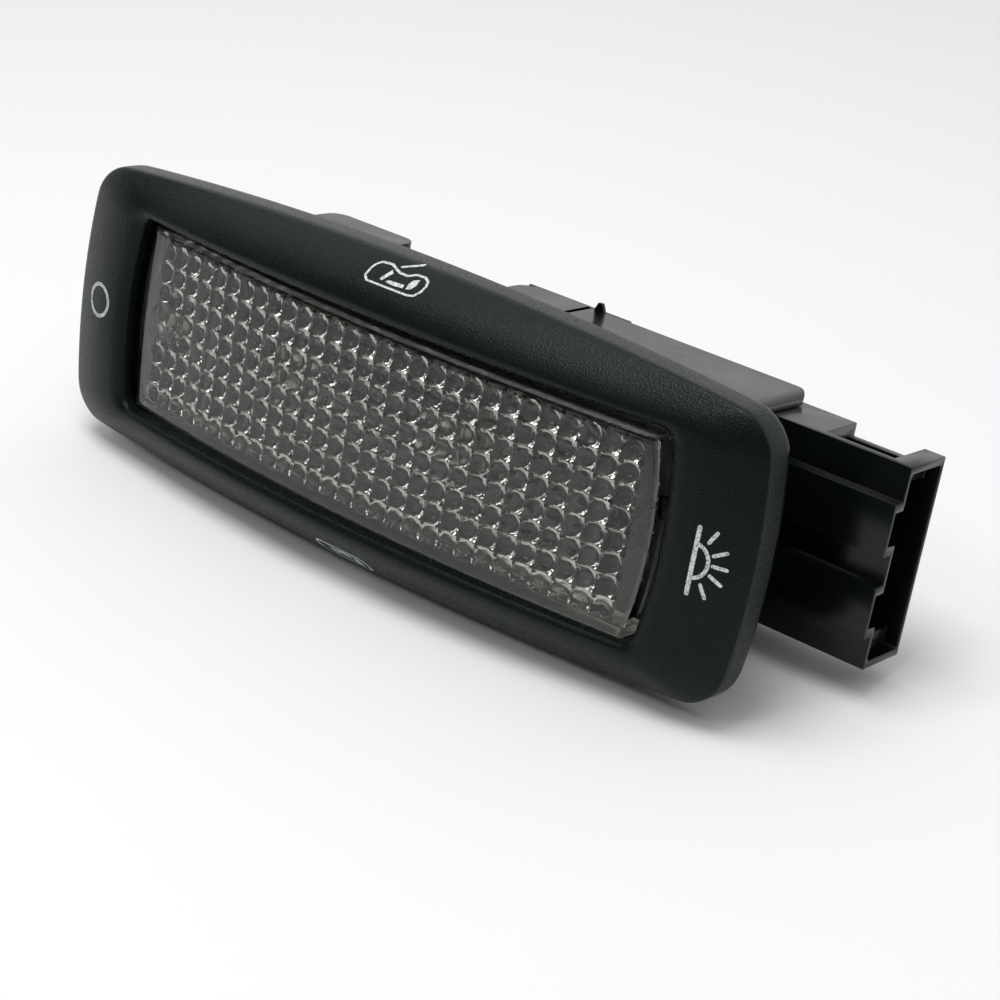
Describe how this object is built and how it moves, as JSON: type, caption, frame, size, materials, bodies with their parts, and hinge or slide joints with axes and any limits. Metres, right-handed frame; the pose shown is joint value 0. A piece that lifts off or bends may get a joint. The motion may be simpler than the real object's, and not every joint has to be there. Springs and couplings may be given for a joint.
{
  "type": "car dome light",
  "caption": "Car interior dome light: barrel-shaped black bezel, smoked beaded rocker lens as a three-position switch, deep case with side connector.",
  "frame": {"origin": "centre of the flange's back face, where the light seats against its panel, on the middle of the lens", "axes": "+X along the light towards the connector, +Y into the panel, away from the lens, +Z along the short side"},
  "size_m": [0.1597, 0.0432, 0.0546],
  "materials": {
    "bezel_plastic": "fine leather-like grain, satin black",
    "case_plastic": "smooth black moulding, slight scratches",
    "smoked_lens": "clear smoked plastic with beaded inner face",
    "reflector_grey": "grey metallised moulding",
    "bulb_glass": "clear glass",
    "bulb_cap": "tinned cap",
    "filament": "dull tungsten",
    "brass": "stamped brass strip",
    "tinned_metal": "bright tinned bridge",
    "spring_metal": "spring steel and bronze leaves",
    "contact_silver": "silver contact points"
  },
  "bodies": {
    "case": {"bezel": "bezel_plastic", "housing": "case_plastic", "rear_cover": "case_plastic", "connector_socket": "case_plastic", "reflector": "reflector_grey", "bulb_glass": "bulb_glass", "bulb_cap_left": "bulb_cap", "bulb_cap_right": "bulb_cap", "bulb_filament": "filament", "supply_strip": "brass", "lamp_strip": "brass", "ground_strip": "brass", "door_strip": "brass", "switch_spring": "spring_metal", "detent_spring": "spring_metal", "retaining_spring": "spring_metal", "contact_buttons": "contact_silver", "strip_rivets": "brass"},
    "lens": {"rocker_lens": "smoked_lens", "rocker_contact": "tinned_metal"}
  },
  "joints": [
    {"name": "lens_rock", "type": "hinge", "parent": "case", "child": "lens", "pos_m": [0, -0.0042, 0], "axis": [0, 0, 1], "range_deg": [0, 2.4]}
  ]
}
